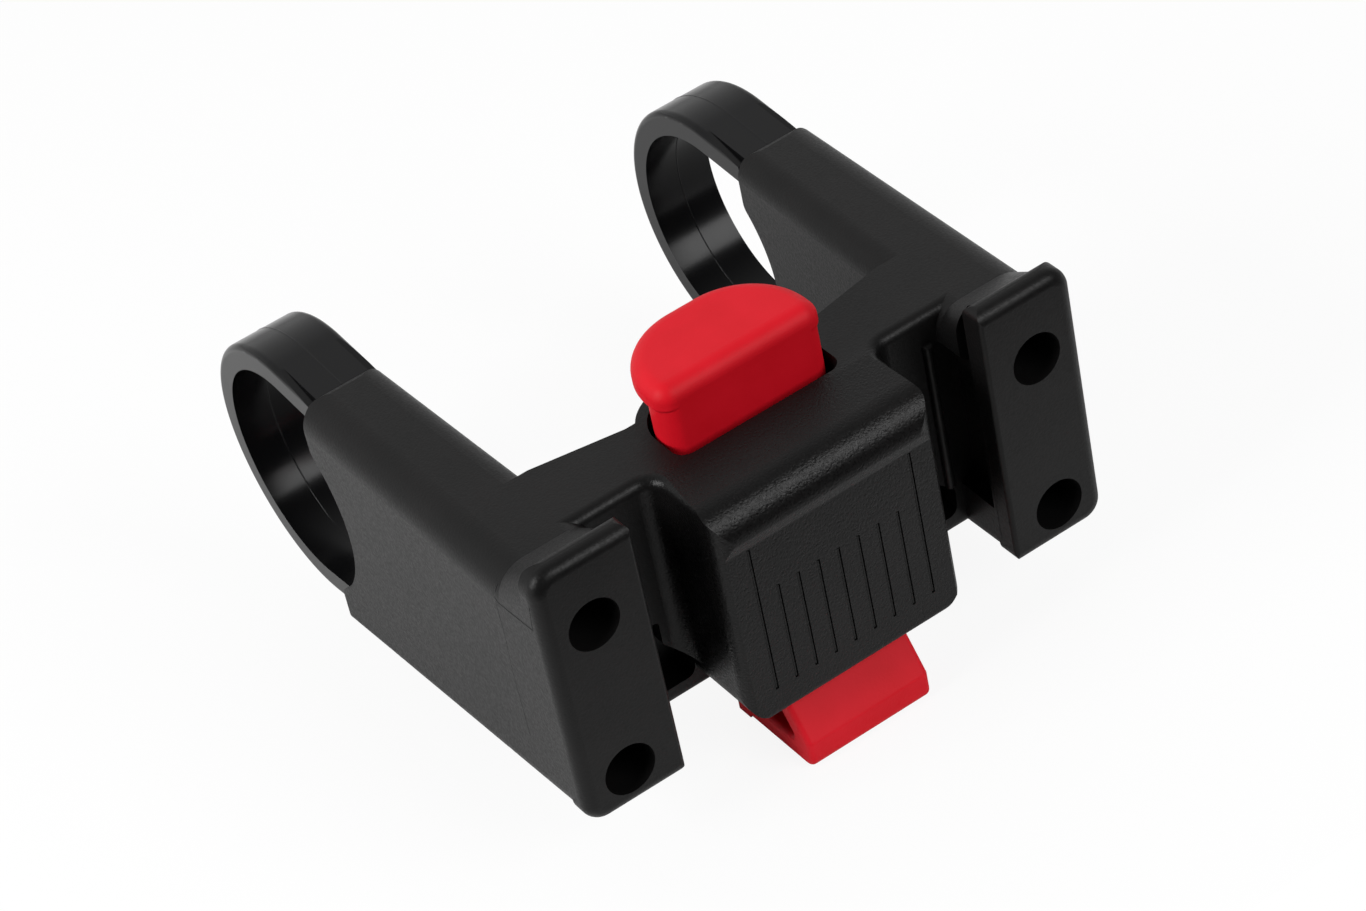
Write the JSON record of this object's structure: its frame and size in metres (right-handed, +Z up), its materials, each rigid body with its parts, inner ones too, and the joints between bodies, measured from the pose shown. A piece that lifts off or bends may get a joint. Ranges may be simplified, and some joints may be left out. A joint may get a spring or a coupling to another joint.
{
  "type": "handlebar bag mount",
  "caption": "Moulded quick-release bag carrier that clamps to a handlebar with two straps and locks the bag with a sprung red thumb latch.",
  "frame": {"origin": "on the handlebar axis, midway between the two clamps", "axes": "+X along the handlebar, -Y forward to the side where the bag hangs, +Z up"},
  "size_m": [0.082, 0.0881, 0.0557],
  "materials": {
    "black_nylon": "fine spark-eroded texture",
    "gloss_nylon": "smooth moulded gloss",
    "red_acetal": "satin moulded",
    "spring_steel": "drawn wire",
    "black_steel": "black oxide",
    "zinc_steel": "zinc plated"
  },
  "bodies": {
    "carrier": {"mount_body": "black_nylon", "return_spring": "spring_steel"},
    "latch": {"release_latch": "red_acetal"},
    "strap_left": {"clamp_strap_left": "gloss_nylon", "clamp_nut_left_upper": "zinc_steel", "clamp_nut_left_lower": "zinc_steel"},
    "strap_right": {"clamp_strap_right": "gloss_nylon", "clamp_nut_right_upper": "zinc_steel", "clamp_nut_right_lower": "zinc_steel"},
    "screw_left_upper": {"clamp_screw_left_upper": "black_steel"},
    "screw_left_lower": {"clamp_screw_left_lower": "black_steel"},
    "screw_right_upper": {"clamp_screw_right_upper": "black_steel"},
    "screw_right_lower": {"clamp_screw_right_lower": "black_steel"}
  },
  "joints": [
    {"name": "latch_press", "type": "hinge", "parent": "carrier", "child": "latch", "pos_m": [0, -0.0495, 0.005], "axis": [1, 0, 0], "range_deg": [0, 7.5], "stiffness_Nm_per_rad": 1.2, "springref_deg": -5.73, "deforming": ["return_spring"]},
    {"name": "screw_left_upper_turn", "type": "hinge", "parent": "carrier", "child": "screw_left_upper", "pos_m": [-0.034, -0.054, 0.0132], "axis": [0, -1, 0], "range_deg": [0, 1800]},
    {"name": "screw_left_lower_turn", "type": "hinge", "parent": "carrier", "child": "screw_left_lower", "pos_m": [-0.034, -0.054, -0.011], "axis": [0, -1, 0], "range_deg": [0, 1800]},
    {"name": "strap_left_slide", "type": "slide", "parent": "carrier", "child": "strap_left", "axis": [0, 1, 0], "range_m": [0, 0.0035]},
    {"name": "screw_right_upper_turn", "type": "hinge", "parent": "carrier", "child": "screw_right_upper", "pos_m": [0.034, -0.054, 0.0132], "axis": [0, -1, 0], "range_deg": [0, 1800]},
    {"name": "screw_right_lower_turn", "type": "hinge", "parent": "carrier", "child": "screw_right_lower", "pos_m": [0.034, -0.054, -0.011], "axis": [0, -1, 0], "range_deg": [0, 1800]},
    {"name": "strap_right_slide", "type": "slide", "parent": "carrier", "child": "strap_right", "axis": [0, 1, 0], "range_m": [0, 0.0035]}
  ],
  "couplings": [
    {"joint": "screw_left_upper_turn", "follows": "strap_left_slide", "rad_per_m": 8976},
    {"joint": "screw_left_lower_turn", "follows": "strap_left_slide", "rad_per_m": 8976},
    {"joint": "screw_right_upper_turn", "follows": "strap_right_slide", "rad_per_m": 8976},
    {"joint": "screw_right_lower_turn", "follows": "strap_right_slide", "rad_per_m": 8976}
  ]
}
